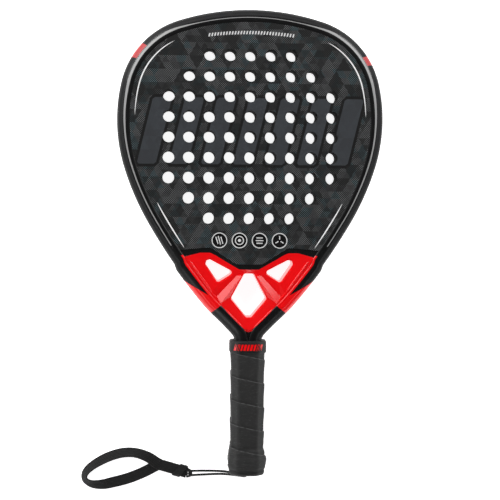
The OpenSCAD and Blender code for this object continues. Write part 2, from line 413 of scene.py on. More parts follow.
def rounded_polygon(pts, radius):
    out = []
    for i, p in enumerate(pts):
        out += round_corner(pts[i - 1], p, pts[(i + 1) % len(pts)], radius[i], 6)
    return out


def face_outline():
    """The face's outline, clockwise from the crown, kept a hair inside the tube's inner edge."""
    right = []
    s = 0.0
    while edge_point(s, TUBE_WIDTH)[1] > -6.2:
        right.append(edge_point(s, TUBE_WIDTH - 0.15))
        s += 3.0
    corner = (edge_point(s, TUBE_WIDTH)[0] + 2, -5.8)
    foot = round_corner(corner, FACE_FOOT[0], FACE_FOOT[1], 9) + round_corner(FACE_FOOT[0], FACE_FOOT[1], (0, -19.7), 9)
    right = right[:-1] + [(edge_point(s, TUBE_WIDTH - 0.15)[0], -5.8)] + foot
    return right + [(-x, y) for x, y in right[:0:-1]]


def face_skin(name, low, high, node):
    """The carbon skin: a filled outline with its round holes and a small rounded edge."""
    curve = bpy.data.curves.new(name, "CURVE")
    curve.dimensions = "2D"
    curve.fill_mode = "BOTH"
    soft = 0.22
    curve.bevel_depth = soft * MM
    curve.bevel_resolution = 2
    curve.offset = -soft * MM
    curve.extrude = ((high - low) / 2 - soft) * MM

    def ring(pts):
        spline = curve.splines.new("POLY")
        spline.points.add(len(pts) - 1)
        for point, (x, y) in zip(spline.points, pts):
            point.co = (x * MM, y * MM, 0, 1)
        spline.use_cyclic_u = True

    ring(face_outline())
    for cx, cy in holes():
        ring(circle(cx, cy, HOLE_D / 2, HOLE_SIDES))
    maker = bpy.data.objects.new(name, curve)
    bpy.context.collection.objects.link(maker)
    depsgraph = bpy.context.evaluated_depsgraph_get()
    mesh = bpy.data.meshes.new_from_object(maker.evaluated_get(depsgraph))
    bpy.data.objects.remove(maker)
    mesh.transform(Matrix.Translation((0, 0, (low + high) / 2 * MM)))
    obj = bpy.data.objects.new(name, mesh)
    bpy.context.collection.objects.link(obj)
    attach(obj, "racket")
    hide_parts(node)
    return obj


face_front = face_skin("face_skin_front", DEPTH - 1, DEPTH, "front_face")
face_rear = face_skin("face_skin_rear", 0, 1, "rear_face")


def hole_walls():
    """The foam's drilled walls inside the air holes. Their faces look in at the hole's axis."""
    verts, faces = [], []
    levels = [0.9, 3, 10, 19, 28, 35, DEPTH - 0.9]
    for cx, cy in holes():
        base = len(verts)
        for z in levels:
            verts += [(x, y, z) for x, y in circle(cx, cy, HOLE_D / 2 - 0.06, HOLE_SIDES)]
        faces += [f[:1] + f[:0:-1] for f in grid(base, len(levels) - 1, HOLE_SIDES)]
    return new_mesh("hole_walls", verts, faces, slot="eva_foam")


wall_obj = hole_walls()

# ---------------------------------------------------------------- throat bridge

RED_TOP = [(0, -24.8), (9.7, -24.5), (24.8, -15.8), (33.3, -10.7), (38.1, -8.5), (47.7, -8.5), (56, -10.7),
           (63.2, -12.6)]
SIDE_WINDOW = ([(49.8, -8.9), (14.6, -27.4), (30.4, -37.6)], [3.5, 2.5, 2.5])
MIDDLE_WINDOW = [(4.5, -28.5), (17.6, -53.2), (2.5, -71.5)]
WINDOW_RIM = 1.3
ON_AXIS = 0.02
V_FOOT = [(0, -86.1), (6, -83.7), (18.3, -71.0)]


def shrink(pts, by):
    """A loop's points moved inwards, or outwards where by is less than nothing."""
    n = len(pts)
    area = sum(pts[i][0] * pts[(i + 1) % n][1] - pts[(i + 1) % n][0] * pts[i][1] for i in range(n))
    sign = 1 if area > 0 else -1
    out = []
    for i in range(n):
        a, b = Vector(pts[i - 1]), Vector(pts[(i + 1) % n])
        t = (b - a).normalized() * sign
        out.append((pts[i][0] - t.y * by, pts[i][1] + t.x * by))
    return out


def inside_loop(p, loop):
    hit = False
    n = len(loop)
    for i in range(n):
        (x0, y0), (x1, y1) = loop[i], loop[(i + 1) % n]
        if (y0 > p[1]) != (y1 > p[1]) and p[0] < (x1 - x0) * (p[1] - y0) / (y1 - y0) + x0:
            hit = not hit
    return hit


def line_y(line, x):
    """Height of a line of points at x, which rises from point to point."""
    for (x0, y0), (x1, y1) in zip(line, line[1:]):
        if x0 <= x <= x1:
            return y0 + (y1 - y0) * (x - x0) / (x1 - x0)
    return line[-1][1]


def centre(pts):
    return sum((Vector(p) for p in pts), Vector((0, 0))) / len(pts)


def bridge():
    """The moulding's right half as a triangulated plan with a drop at each point, mirrored four ways."""
    points, heights, edges = [], [], []

    def add(pts, drop, closed=False):
        """A chain of points with their drop below the local front plane."""
        ids = []
        for i, p in enumerate(pts):
            for k, q in enumerate(points):
                if (q - Vector(p)).length < 0.02:
                    ids.append(k)
                    break
            else:
                points.append(Vector(p))
                heights.append(drop[i] if isinstance(drop, (list, tuple)) else drop)
                ids.append(len(points) - 1)
        edges.extend((a, b) for a, b in zip(ids, ids[1:]) if a != b)
        if closed:
            edges.append((ids[-1], ids[0]))

    foot = face_outline()
    foot_right = [p for p in foot[:len(foot) // 2 + 1] if p[1] < -3 and 0 < p[0] < 62]
    inner = TUBE_WIDTH - 0.4
    top = [(0, -19.7)] + foot_right[::-1]
    s, end = length_at_y(-5.8, inner), length_at_y(-91.5, TUBE_WIDTH)
    arm = []
    while s < end:
        arm.append(edge_point(s, inner))
        s += 4.0
    arm = [(x, y) for x, y in arm if x > 0.4] + [(0.0, -96.0)]
    outline = top + arm
    add(outline + [(0, -86.1)], [0.3] * len(top) + [0.9 + 1.5 * smoothstep(-76, -84, y) for _, y in arm] + [2.4])
    add([(0, -86.1), (0, -74.5)], [2.4, 2.6])
    add(RED_TOP, 1.3)
    add([(0, -19.7), (0, -24.8)], 1.3)
    add([(0, -24.8), (0, -27.2)], [1.3, 3.0])
    # ridge beside the arm, and the ridge of the V
    add([(58.6, -15.4), (35.4, -47.6), (24.2, -62.4), (4.4, -82.6), (0, -83.9)], [0.95, 0.95, 1.0, 1.1, 1.1])
    add(V_FOOT, [2.2, 2.3, 1.4])
    # the bright facet between the windows
    add([(11.8, -30.4), (31.2, -51.2)], [2.0, 3.0])
    add([(7.2, -30.8), (27.0, -57.4)], [0.6, 0.3])
    side_loop = rounded_polygon(*SIDE_WINDOW)
    add(shrink(side_loop, -WINDOW_RIM), 1.6, closed=True)
    add(side_loop, 3.2, closed=True)
    whole = rounded_polygon(MIDDLE_WINDOW + [(-x, y) for x, y in MIDDLE_WINDOW[::-1]], [2.5] * 6)
    top_y, low_y = max(p[1] for p in whole), min(p[1] for p in whole)
    half, half_wide = (sorted((p for p in ring if p[0] >= 0.3), key=lambda p: -p[1])
                       for ring in (whole, shrink(whole, -WINDOW_RIM)))
    middle_loop = [(0, top_y)] + half + [(0, low_y)]
    add(middle_loop, 4.2)
    add([(0, top_y + WINDOW_RIM)] + half_wide + [(0, low_y - WINDOW_RIM)], 2.6)
    windows = [side_loop, middle_loop]

    verts, _, tris, orig_verts, _, _ = delaunay_2d_cdt(points, edges, [], 0, 1e-5)

    drops = [heights[o[0]] if o else 1.5 for o in orig_verts]
    keep = []
    for t in tris:
        c = centre([verts[k] for k in t])
        if inside_loop(c, outline) and not any(inside_loop(c, w) for w in windows):
            keep.append(tuple(t))

    all_verts, all_faces, black, index = [], [], [], {}
    middles = [centre(w) for w in windows]
    middles[1].x = 0.0

    def vertex(k, side, level):
        """Point k on one side of the racket: level is 1 in front, -1 behind and 0 at mid-depth."""
        x, y = verts[k]
        if abs(x) < ON_AXIS:
            side, x = 1, 0.0
        key = (k, side, level)
        if key not in index:
            p = Vector((x, y))
            if level == 0:
                # the windows' walls draw in at mid-depth, as moulded walls do
                for w, c in zip(windows, middles):
                    if min((p - Vector(q)).length for q in w) < 0.05:
                        p = p + (c - p).normalized() * 1.1
                        break
                p.x = max(p.x, 0.0)
            index[key] = len(all_verts)
            all_verts.append((side * p.x, p.y, MID_Z + level * (half_depth(y) - drops[k])))
        return index[key]

    count = Counter(tuple(sorted(e)) for t in keep for e in zip(t, t[1:] + t[:1]))
    for side in (1, -1):
        for t in keep:
            c = centre([verts[k] for k in t])
            dark = c.y > line_y(RED_TOP, c.x) if c.y > -30 else c.y < line_y(V_FOOT, c.x)
            if c.x > 18.3 and c.y < -59:
                dark = False
            for level in (1, -1):
                ids = [vertex(k, side, level) for k in t]
                if len(set(ids)) == 3:
                    all_faces.append(tuple(ids if level == side else ids[::-1]))
                    black.append(dark)
        for t in keep:
            for a, b in zip(t, t[1:] + t[:1]):
                if count[tuple(sorted((a, b)))] == 1 and not (verts[a].x < ON_AXIS and verts[b].x < ON_AXIS):
                    y = (verts[a].y + verts[b].y) / 2
                    for level in (1, -1):
                        quad = [vertex(a, side, level), vertex(a, side, 0), vertex(b, side, 0), vertex(b, side, level)]
                        all_faces.append(tuple(quad if side == level else quad[::-1]))
                        black.append(y > -8 or y < -86)
    obj = new_mesh("bridge_moulding", all_verts, all_faces, smooth=True, slot="red_bridge")
    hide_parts("throat_bridge")
    for p, dark in zip(obj.data.polygons, black):
        p.material_index = 1 if dark else 0
    outward(obj)
    bevelled(obj, 0.4, segments=3, angle=9)
    return obj


bridge_obj = bridge()


CRESTS = [([(58.6, -15.4), (47.2, -31.0), (35.4, -47.6)], [0.1, 0.05, 0.1]),
          ([(24.2, -62.4), (14.0, -73.0), (4.4, -82.6)], [0.3, 0.3, 0.5])]
CREST_R = 1.1


def creases():
    """The rounded crests moulded along the wings and along the V, front and rear."""
    tubes = []
    for path, drops in CRESTS:
        line = []
        for (a, b), (da, db) in zip(zip(path, path[1:]), zip(drops, drops[1:])):
            line += [(Vector(a).lerp(Vector(b), k / 8), da + (db - da) * k / 8) for k in range(8)]
        line.append((Vector(path[-1]), drops[-1]))
        along = (Vector(path[-1]) - Vector(path[0])).normalized()
        across = Vector((-along.y, along.x))
        for side in (1, -1):
            for front in (1, -1):
                rings = []
                for i, (p, drop) in enumerate(line):
                    r = CREST_R * min(1.0, sin(pi * (i + 0.35) / (len(line) - 0.3)) * 2.2)
                    ring = [(p + across * r * cos(a), r * sin(a)) for a in turns(10)]
                    rings.append([(side * q.x, q.y, MID_Z + front * (half_depth(q.y) - drop - CREST_R + z))
                                  for q, z in ring])
                tubes.append(rings)
    return loft("bridge_creases", *tubes, cap=False, slot="red_bridge")


crease_obj = creases()

# ---------------------------------------------------------------- handle

DEPTH_RATIO, BEVEL_RATIO = 0.98, 0.44


def profile(stations, y):
    """Half width at y, eased between stations given from the top down."""
    for (y0, w0), (y1, w1) in zip(stations, stations[1:]):
        if y0 >= y >= y1:
            return w0 + (w1 - w0) * smoothstep(y0, y1, y)
    return stations[-1][1] if y < stations[-1][0] else stations[0][1]


def octagon_reach(a, half):
    """Distance from the handle's axis to its octagon in direction a."""
    c, s = abs(cos(a)), abs(sin(a))
    deep = half * DEPTH_RATIO
    return min(half / max(c, 1e-6), deep / max(s, 1e-6), (half + deep - BEVEL_RATIO * half) / (c + s))


def soft_reach(a, half, soft):
    """The octagon's reach with its corners rounded."""
    return sum(octagon_reach(a + soft * k / 3, half) for k in range(-3, 4)) / 7


def handle_ring(y, half, count, soft, swell=None):
    """One ring of the handle round the octagon, with what swell(a, y) adds to it."""
    ring = []
    for a in turns(count):
        r = soft_reach(a, half, soft) + (swell(a, y) if swell else 0.0)
        ring.append((r * cos(a), y, MID_Z + r * sin(a)))
    return ring


GRIP = [(-98, 17), (-126, 16.5), (-199, 16.5), (-206, 17.9), (-213, 19.0), (-219, 18.4), (-222.5, 17.3)]
WRAP_PITCH = 23.5


def wrap(a, y):
    """The overlap step of the wound tape, its stretch wrinkles, and the slack at the flare."""
    turn = (y / WRAP_PITCH - (a + 0.6) / (2 * pi)) % 1.0
    step = 0.8 * (1 - smoothstep(0.0, 0.03, turn)) + 0.8 * smoothstep(0.05, 1.0, turn) ** 2
    edge = -0.5 * exp(-((turn - 0.04) / 0.022) ** 2)
    x, z = cos(a), sin(a)
    flare = smoothstep(-188, -203, y) * (1 - smoothstep(-216, -221, y))
    slant = y + 6.5 * sin(a + 0.5)
    waves = (noise.noise(Vector((slant * 0.3, x * 1.1, z * 1.1)))
             + 0.5 * noise.noise(Vector((slant * 0.62, x * 2.2, z * 2.2))))
    fold = 0.42 * flare * waves
    soft = 0.12 * noise.noise(Vector((x * 1.7, y * 0.07, z * 1.7 + 4)))
    return step + edge + fold + soft - 0.45


def overgrip():
    """The wound tape, from under the collar to a rolled edge at the butt cap."""
    count = 192
    rings, marks = [], []
    y = -95.2
    while y > -222.6:
        rings.append(handle_ring(y, profile(GRIP, y), count, 0.10, wrap))
        marks += [(a * 16.5, y, (y / WRAP_PITCH - (a + 0.6) / (2 * pi)) * WRAP_PITCH) for a in turns(count)]
        y -= 0.7 if y < -186 else 1.0
    for y, half in ((-223.2, 16.6), (-223.3, 14.0)):
        rings.append(handle_ring(y, half, count, 0.12))
        marks += [(0, y, 0)] * count
    obj = loft("overgrip_wrap", rings, cap=False, marks=marks, mark="wound", slot="grip_wrap")
    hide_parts("overgrip", "finishing_tape")
    return obj


COLLAR_TOP, COLLAR_LOW, COLLAR_HALF, COLLAR_SOFT = -94.5, -106.8, 18.0, 0.13


def collar():
    top, low = COLLAR_TOP, COLLAR_LOW
    rings = [handle_ring(y, half, 128, COLLAR_SOFT) for y, half in
             ((top - 1.2, 12.2), (top - 0.2, 12.6), (top, 13.4), (top, 16.4), (top - 0.25, 17.2),
              (top - 0.9, 17.75), (top - 1.9, 17.95), (top - 5, COLLAR_HALF), (low + 2.4, COLLAR_HALF),
              (low + 1.2, 17.95), (low + 0.5, 17.7), (low + 0.1, 17.3), (low, 16.8))]
    obj = loft("collar_band", rings, cap=False, slot="collar_rubber")
    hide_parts("rubber_collar")
    return obj


def collar_height(x):
    """Height of the collar's surface above the handle's axis at x."""

    def reach(a):
        return soft_reach(a, COLLAR_HALF, COLLAR_SOFT)

    a = bisect(0.0, pi / 2, lambda a: reach(a) * cos(a) > abs(x), 30)
    return reach(a) * sin(a)


def collar_slashes():
    """Plain red slashes printed on the collar's front and rear."""
    verts, faces = [], []
    low, high, lean, rows = -103.9, -97.9, 1.5, 3
    for z_side in (1, -1):
        for k in range(9):
            x0 = -12.6 + 3.15 * k
            wide = 2.4 if k in (3, 5) else 1.9
            faces += [f if z_side > 0 else f[::-1] for f in grid(len(verts), rows, 2, closed=False)]
            for i in range(rows + 1):
                f = i / rows
                for x in (x0 - wide / 2 + lean * (f - 0.5), x0 + wide / 2 + lean * (f - 0.5)):
                    verts.append((x, low + (high - low) * f, MID_Z + z_side * (collar_height(x) + 0.05)))
    return new_mesh("collar_slashes", verts, faces, slot="red_bridge")


def cap():
    """The flared butt cap, with the round hole for the cord."""
    count = 128
    rings = [handle_ring(y, w, count, 0.14) for y, w in
             ((-219.5, 16.9), (-222.7, 16.9), (-222.9, 17.2), (-223.4, 17.35), (-224.6, 17.15), (-225.8, 16.7),
              (-226.6, 16.1), (-227.15, 15.2), (-227.42, 14.3), (-227.5, 13.2))]
    rings += [[(x, y, z) for x, z in circle(0, MID_Z, r, count)]
              for y, r in ((-227.5, 7.0), (-227.5, 3.6), (-227.3, 3.0), (-226.9, 2.75), (-222.8, 2.75))]
    obj = loft("cap_shell", rings, cap=False, slot="cap_plastic")
    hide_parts("butt_cap")
    return obj


grip_obj, collar_obj, slash_obj, cap_obj = overgrip(), collar(), collar_slashes(), cap()

# ---------------------------------------------------------------- wrist strap

# Both routes are rows of [x, y, z, tilt in degrees].
LEASH_ROUTE = [(0, -223.1, 19, 90), (0, -227.2, 19, 90), (-1.3, -229.5, 18, 90), (-6, -229.9, 12.8, 82),
               (-13, -229.6, 6, 45), (-21, -229, 2.8, 10), (-32, -228.8, 2.2, 0), (-45, -229, 2.6, 0),
               (-53.4, -229.3, 3, 0)]
HIGH_Z, LOW_Z = 4.1, 2.1
START, PART = (-58.6, -228.7), (-86, -220.68)
LOOP_ROUTE = [
    START + (HIGH_Z, 0), (-82, -221.85, HIGH_Z, 0), PART + (HIGH_Z, 0), (-97, -213.2, 4.6, 25),
    (-109, -209, 5, 38), (-120, -208.6, 5, 38), (-131, -211, 5, 38), (-142, -215.6, 5, 40), (-152, -221.6, 5, 48),
    (-158, -227.2, 5.3, 55), (-160, -232, 5.4, 60), (-158.5, -236.6, 5.3, 55), (-152, -240, 4.6, 40),
    (-142, -240.6, 3, 20), (-131, -238.6, 1.4, 4), (-116, -234.6, 1.1, 0), (-100, -228, 1.4, 0),
    PART + (LOW_Z, 0), (-82, -221.85, LOW_Z, 0), START + (LOW_Z, 0)]



def smooth_route(route, n):
    """Catmull-Rom through a route's points."""
    out = []
    last = len(route) - 1
    for i in range(last):
        around = (route[max(i - 1, 0)], route[i], route[i + 1], route[min(i + 2, last)])
        for k in range(n):
            t = k / n
            out.append(tuple(0.5 * (2 * b + (c - a) * t + (2 * a - 5 * b + 4 * c - d) * t * t
                                    + (3 * b - a - 3 * c + d) * t ** 3) for a, b, c, d in zip(*around)))
    return out + [tuple(route[-1])]


def route_frame(route):
    """Each point of a route with its width and thickness directions."""
    frames = []
    for i, p in enumerate(route):
        a, b = route[max(i - 1, 0)], route[min(i + 1, len(route) - 1)]
        along = Vector((b[0] - a[0], b[1] - a[1], b[2] - a[2])).normalized()
        flat = Vector((0, 0, 1)).cross(along)
        flat = flat.normalized() if flat.length > 0.05 else Vector((1, 0, 0))
        up = along.cross(flat).normalized()
        tilt = radians(p[3])
        frames.append((Vector(p[:3]), flat * cos(tilt) + up * sin(tilt),
                       up * cos(tilt) - flat * sin(tilt)))
    return frames


def strap_section(width, thick, ribs, count=40):
    """A webbing's section: flat, round at its edges, with ribs along it."""
    flat = width - thick * 0.7
    top = []
    for k in range(count):
        t = k / (count - 1)
        top.append(((t - 0.5) * flat, thick / 2 + 0.11 * cos(2 * pi * t * ribs) - 0.03))
    side = [(flat / 2 + thick * 0.35 * cos(a), thick / 2 * sin(a)) for a in (pi / 2 - pi * k / 6 for k in range(1, 6))]
    return top + side + [(x, -z) for x, z in top[::-1]] + [(-x, -z) for x, z in side]


loop_route, leash_route = smooth_route(LOOP_ROUTE, 10), smooth_route(LEASH_ROUTE, 12)


def wrist_webbing():
    """The flat webbing of the wrist loop, carried along its route."""
    section = strap_section(10.9, 1.55, 6)
    rings, marks = [], []
    gone, last = 0.0, None
    for p, across, out in route_frame(loop_route):
        gone += (p - last).length if last else 0.0
        last = p
        rings.append([tuple(p + across * x + out * z) for x, z in section])
        marks += [(gone, x, z) for x, z in section]
    obj = loft("wrist_webbing", rings, marks=marks, slot="webbing")
    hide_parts("wrist_loop")
    return obj


def wrist_cord():
    """Two thin strands, side by side at the butt and spread at the sewn end."""
    frames = route_frame(leash_route)
    tubes, marks = [], []
    for side in (1, -1):
        rings, gone, last = [], 0.0, None
        for i, (p, across, out) in enumerate(frames):
            middle = p + across * side * (1.15 + 1.0 * smoothstep(0.5, 1.0, i / (len(frames) - 1)))
            gone += (middle - last).length if last else 0.0
            last = middle
            rings.append([tuple(middle + across * CORD_R * cos(a) + out * CORD_R * sin(a)) for a in turns(20)])
            marks += [(gone, a, 0) for a in turns(20)]
        tubes.append(rings)
    obj = loft("wrist_cord", *tubes, marks=marks, slot="cord")
    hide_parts("leash_cord")
    return obj


CORD_R = 1.14
loop_obj, leash_obj = wrist_webbing(), wrist_cord()


def folded_tab():
    """The sewn end: webbing folded round the cord, wider towards the loop."""
    x0, y0, z0, long, steps = -53.6, -229.3, 3.2, 6.2, 12
    rings, marks = [], []
    for i in range(steps + 1):
        t = i / steps
        half = 3.2 + 1.75 * smoothstep(0.0, 0.8, t)
        thick = 2.45 - 0.35 * smoothstep(0.5, 1.0, t) - 0.9 * (1 - smoothstep(0.0, 0.12, t))
        section = strap_section(2 * half, 2 * thick, 4)
        rings.append([(x0 + 0.5 - long * t, y0 + 0.6 * t * t + u, z0 + w) for u, w in section])
        marks += [(long * t, u, w) for u, w in section]
    obj = loft("sewn_end", rings, marks=marks, slot="webbing")
    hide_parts("strap_tab")
    return obj


def stitches(name, spots, angle, length):
    """Short thread stitches: small rounded bars."""
    d = Vector((cos(angle), sin(angle), 0))
    e = Vector((-d.y, d.x, 0))
    tubes = []
    for spot in spots:
        rings = []
        for i in range(7):
            t = i / 6
            p = Vector(spot) + d * length * (t - 0.5)
            r = 0.34 * sin(pi * min(max(t, 0.08), 0.92)) ** 0.4
            rise = 0.16 * sin(pi * t)
            rings.append([tuple(p + e * r * cos(a) + Vector((0, 0, rise + 0.7 * r * sin(a)))) for a in turns(8)])
        tubes.append(rings)
    return loft(name, *tubes, cap=False, slot="cord")


tab_obj = folded_tab()
tab_stitches = stitches("sewn_end_stitches", [(-57.2, -228.2, 5.45), (-57.3, -230.6, 5.45)], 1.45, 1.7)


def keeper():
    """Webbing folded round both strands and sewn to itself: a skewed sleeve with an open slot."""
    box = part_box("strap_keeper")
    direction = Vector((PART[0] - START[0], PART[1] - START[1])).normalized()
    side = Vector((-direction.y, direction.x))
    middle, skew = Vector((-65.4, -226.7)), 0.47
    z_mid = (box[0].z + box[1].z) / 2 / MM
    half_w, half_h, wall, sides = 6.6, (box[1].z - box[0].z) / 2 / MM, 0.85, 72

    def track(w, h):
        """A rounded flat loop round the strands."""
        return [(w * copysign(abs(cos(a)) ** 0.45, cos(a)), h * copysign(abs(sin(a)) ** 0.45, sin(a)))
                for a in turns(sides)]

    def place(along, across, height):
        q = middle + direction * (along + skew * across * 0.9) + side * across
        return (q.x, q.y, z_mid + height)

    # [distance along the sleeve, how far its rounded end has drawn in]
    stations = [(-4.7, 0.35), (-4.55, 0.08), (-4.2, 0.0)] + [(-4.2 + 8.4 * i / 8, 0.0) for i in range(1, 8)]
    stations += [(4.2, 0.0), (4.55, 0.08), (4.7, 0.35)]
    sizes = [(along, half_w - cut, half_h - cut) for along, cut in stations]
    sizes += [(along, half_w - wall + cut * 0.6, half_h - wall + cut * 0.4) for along, cut in stations[::-1]]
    sizes.append(sizes[0])
    rings = [[place(along * 0.82, u, w) for u, w in track(w_half, h_half)] for along, w_half, h_half in sizes]
    marks = [(u, along, w) for along, _, _ in sizes for u, w in track(half_w, half_h)]
    obj = loft("keeper_sleeve", rings, cap=False, marks=marks, body="keeper", slot="webbing")
    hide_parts("strap_keeper")
    return obj


keeper_obj = keeper()

# ---------------------------------------------------------------- plain marks on the face

FACE_Z = DEPTH + 0.03


def flat_shapes(name, loops, z=FACE_Z):
    """Flat printed shapes, one polygon for each loop."""
    verts, faces = [], []
    for loop in loops:
        base = len(verts)
        verts += [(x, y, z) for x, y in loop]
        faces.append(tuple(range(base, base + len(loop))))
    obj = new_mesh(name, verts, faces, smooth=False, slot="carbon_face")
    outward(obj)
    if obj.data.polygons[0].normal.z < 0:
        obj.data.flip_normals()
    return obj


def taper_line(pts, width):
    """A line of points drawn with tapered ends."""
    left, right = [], []
    n = len(pts)
    for i, p in enumerate(pts):
        a, b = Vector(pts[max(i - 1, 0)]), Vector(pts[min(i + 1, n - 1)])
        t = (b - a).normalized()
        w = width / 2 * sin(pi * i / (n - 1)) ** 0.5
        left.append((p[0] - t.y * w, p[1] + t.x * w))
        right.append((p[0] + t.y * w, p[1] - t.x * w))
    return left, right


def accent(side, y_from, y_to, inset, width):
    """Quads of one accent line that follows the frame."""
    pts = []
    s = 0.0
    while s < ARM_LENGTH:
        x, y = edge_point(s, inset)
        if y_to < y < y_from and x > 0:
            pts.append((side * x, y))
        s += 3.0
    left, right = taper_line(pts, width)
    return [[left[i], left[i + 1], right[i + 1], right[i]] for i in range(len(pts) - 1)]


accents = []
for side in (-1, 1):
    accents += accent(side, 197, 123, 17.4, 1.3)
    accents += accent(side, 41, -6, 17.2, 1.3)
accent_obj = flat_shapes("accent_lines", accents)

ticks = []
for k in range(30):
    x = -40.6 + 2.8 * k
    y = 204.8 - 0.0016 * x * x
    ticks.append([(x - 1.1, y - 1.6), (x + 0.3, y - 1.6), (x + 1.1, y + 1.6), (x - 0.3, y + 1.6)])
tick_obj = flat_shapes("crown_ticks", ticks)


def ring_quads(cx, cy, outer, inner, count=48):
    rim, bore = circle(cx, cy, outer, count), circle(cx, cy, inner, count)
    return [[rim[k], rim[(k + 1) % count], bore[(k + 1) % count], bore[k]] for k in range(count)]


def bar(cx, cy, w, h, angle=0.0):
    c, s = cos(angle), sin(angle)
    corners = ((-w / 2, -h / 2), (w / 2, -h / 2), (w / 2, h / 2), (-w / 2, h / 2))
    return [(cx + c * u - s * v, cy + s * u + c * v) for u, v in corners]


BADGE_X, BADGE_Y = (-29.25, -9.75, 9.75, 29.25), 3.7
badges = []
for k, cx in enumerate(BADGE_X):
    cy = BADGE_Y
    badges += ring_quads(cx, cy, 7.6, 6.7)
    if k == 0:
        badges += [bar(cx - 2.4, cy, 1.0, 7.0, 0.3), bar(cx, cy, 1.0, 8.6, 0.3), bar(cx + 2.4, cy, 1.0, 7.0, 0.3)]
    elif k == 1:
        badges += ring_quads(cx, cy, 4.4, 3.5) + ring_quads(cx, cy, 1.5, 0.05, 20)
    elif k == 2:
        badges += [bar(cx, cy + 2.6 * j, 7.4 - 1.4 * abs(j), 1.0, 0.0) for j in (-1, 0, 1)]
    else:
        badges += [bar(cx + 2.9 * cos(a), cy + 2.9 * sin(a), 3.4, 1.0, a)
                   for a in (pi / 2, pi * 7 / 6, -pi / 6)]
badge_obj = flat_shapes("badge_rings", badges)
badge_discs = flat_shapes("badge_discs", [circle(cx, BADGE_Y, 7.3, 48) for cx in BADGE_X], FACE_Z - 0.015)

# ---------------------------------------------------------------- materials


class Paint:
    """A node material and short ways to add nodes to it."""

    def __init__(self, name):
        self.mat = bpy.data.materials.new(name)
        self.mat.use_nodes = True
        self.tree = self.mat.node_tree
        self.tree.nodes.clear()
        self.out = self.tree.nodes.new("ShaderNodeOutputMaterial")
        self.bsdf = self.tree.nodes.new("ShaderNodeBsdfPrincipled")
        self.tree.links.new(self.bsdf.outputs[0], self.out.inputs[0])

    def put(self, socket, value):
        if isinstance(value, bpy.types.NodeSocket):
            self.tree.links.new(value, socket)
        else:
            socket.default_value = value

    def set(self, **values):
        """Values or links for the surface's named inputs."""
        for key, value in values.items():
            self.put(self.bsdf.inputs[key.replace("_", " ")], value)
        return self

    def maths(self, op, a, b=None):
        n = self.tree.nodes.new("ShaderNodeMath")
        n.operation = op
        self.put(n.inputs[0], a)
        if b is not None:
            self.put(n.inputs[1], b)
        return n.outputs[0]

    def add(self, a, b):
        return self.maths("ADD", a, b)

    def sub(self, a, b):
        return self.maths("SUBTRACT", a, b)

    def mul(self, a, b):
        return self.maths("MULTIPLY", a, b)

    def floor(self, a, size):
        return self.maths("FLOOR", self.maths("DIVIDE", a, size))

    def vec(self, op, a, b=None):
        n = self.tree.nodes.new("ShaderNodeVectorMath")
        n.operation = op
        self.put(n.inputs[0], a)
        if b is not None:
            self.put(n.inputs[1], b)
        return n.outputs["Value"] if op in ("LENGTH", "DOT_PRODUCT", "DISTANCE") else n.outputs[0]

    def place(self):
        """The row frame's coordinates in millimetres."""
        n = self.tree.nodes.new("ShaderNodeTexCoord")
        return self.vec("MULTIPLY", n.outputs["Object"], (1000, 1000, 1000))

    def mark(self, name):
        n = self.tree.nodes.new("ShaderNodeAttribute")
        n.attribute_name = name
        return n.outputs["Vector"]

    def split(self, v):
        n = self.tree.nodes.new("ShaderNodeSeparateXYZ")
        self.put(n.inputs[0], v)
        return n.outputs[0], n.outputs[1], n.outputs[2]

    def combine(self, x, y, z=0.0):
        n = self.tree.nodes.new("ShaderNodeCombineXYZ")
        for socket, value in zip(n.inputs, (x, y, z)):
            self.put(socket, value)
        return n.outputs[0]

    def noise(self, where, scale, detail=2.0, rough=0.5):
        n = self.tree.nodes.new("ShaderNodeTexNoise")
        self.put(n.inputs["Vector"], where)
        n.inputs["Scale"].default_value = scale
        n.inputs["Detail"].default_value = detail
        n.inputs["Roughness"].default_value = rough
        return n.outputs[0]

    def white(self, where):
        n = self.tree.nodes.new("ShaderNodeTexWhiteNoise")
        self.put(n.inputs["Vector"], where)
        return n.outputs["Value"]

    def cells(self, scale):
        n = self.tree.nodes.new("ShaderNodeTexVoronoi")
        self.put(n.inputs["Vector"], self.place())
        n.inputs["Scale"].default_value = scale
        return n.outputs[0]

    def ramp(self, value, low, high, to_low=0.0, to_high=1.0):
        n = self.tree.nodes.new("ShaderNodeMapRange")
        n.clamp = True
        for socket, v in zip(n.inputs, (value, low, high, to_low, to_high)):
            self.put(socket, v)
        return n.outputs[0]

    def mix(self, t, a, b):
        n = self.tree.nodes.new("ShaderNodeMix")
        n.data_type = "RGBA"
        self.put(n.inputs["Factor"], t)
        self.put(n.inputs[6], a)
        self.put(n.inputs[7], b)
        return n.outputs[2]

    def bump(self, height, distance, strength=1.0, after=None):
        n = self.tree.nodes.new("ShaderNodeBump")
        self.put(n.inputs["Height"], height)
        n.inputs["Distance"].default_value = distance
        n.inputs["Strength"].default_value = strength
        if after is not None:
            self.put(n.inputs["Normal"], after)
        self.put(self.bsdf.inputs["Normal"], n.outputs[0])
        return n.outputs[0]


def rgb(*c):
    return (*c, 1.0)


def grey(v):
    return (v, v, v, 1.0)


def twill(p, u, v, size):
    """0 or 1 for the two directions of a 2x2 twill, with the tows' rounding."""
    cu, cv = p.maths("DIVIDE", u, size), p.maths("DIVIDE", v, size)
    iu, iv = p.maths("FLOOR", cu), p.maths("FLOOR", cv)
    which = p.maths("FLOORED_MODULO", p.sub(iu, iv), 4.0)
    over = p.maths("LESS_THAN", which, 1.5)
    fu = p.maths("PINGPONG", cu, 0.5)
    fv = p.maths("PINGPONG", cv, 0.5)
    mixed = p.add(p.mul(fu, over), p.mul(fv, p.sub(1.0, over)))
    return over, mixed


